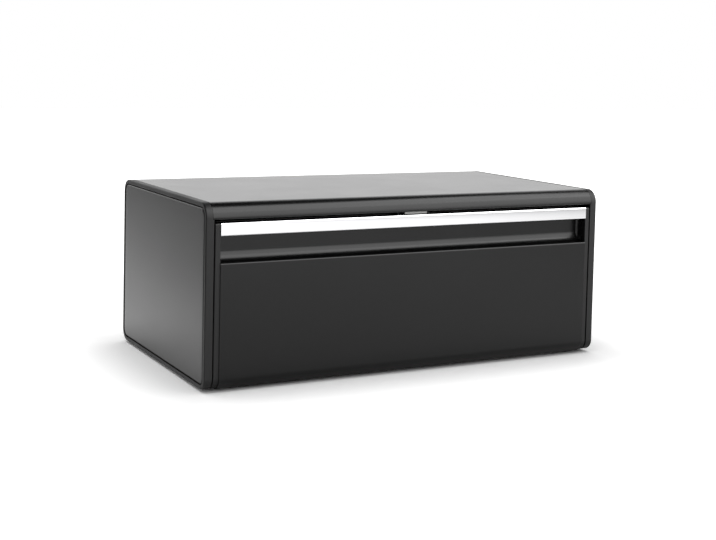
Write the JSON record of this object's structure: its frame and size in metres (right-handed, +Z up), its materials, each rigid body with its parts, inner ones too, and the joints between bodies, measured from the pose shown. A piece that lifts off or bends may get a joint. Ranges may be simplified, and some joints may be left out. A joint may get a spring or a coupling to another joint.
{
  "type": "bread box",
  "caption": "Fall-front bread box with a bent steel shell, moulded end frames and a front door that hinges at its rounded bottom edge and is held shut by a magnetic catch.",
  "frame": {"origin": "on the counter, under the middle of the box, at the bottom of its feet", "axes": "+X along the front from the left end frame to the right one, +Y from the front to the back, +Z up from the counter"},
  "size_m": [0.465, 0.257, 0.184],
  "materials": {
    "black_paint": "satin",
    "black_plastic": "fine matt grain",
    "chrome": "polished",
    "nickel": "nickel plated",
    "zinc": "zinc plated",
    "black_rubber": "matt"
  },
  "bodies": {
    "case": {"outer_shell": "black_paint", "left_end_frame": "black_plastic", "right_end_frame": "black_plastic", "left_side_panel": "black_paint", "right_side_panel": "black_paint", "catch_body": "black_plastic", "catch_magnet": "nickel", "left_door_buffer": "black_rubber", "right_door_buffer": "black_rubber", "front_left_foot": "black_rubber", "front_right_foot": "black_rubber", "back_left_foot": "black_rubber", "back_right_foot": "black_rubber", "front_left_frame_screw": "zinc", "front_right_frame_screw": "zinc", "back_left_frame_screw": "zinc", "back_right_frame_screw": "zinc"},
    "door": {"door_panel": "black_paint", "door_liner": "black_paint", "grip_trough": "black_plastic", "handle_strip": "chrome", "left_door_end_cap": "black_plastic", "right_door_end_cap": "black_plastic", "left_hinge_pin": "zinc", "right_hinge_pin": "zinc", "strike_plate": "zinc", "left_strike_screw": "zinc", "right_strike_screw": "zinc"}
  },
  "joints": [
    {"name": "door_hinge", "type": "hinge", "parent": "case", "child": "door", "pos_m": [0, -0.1155, 0.0145], "axis": [1, 0, 0], "range_deg": [0, 90]}
  ]
}
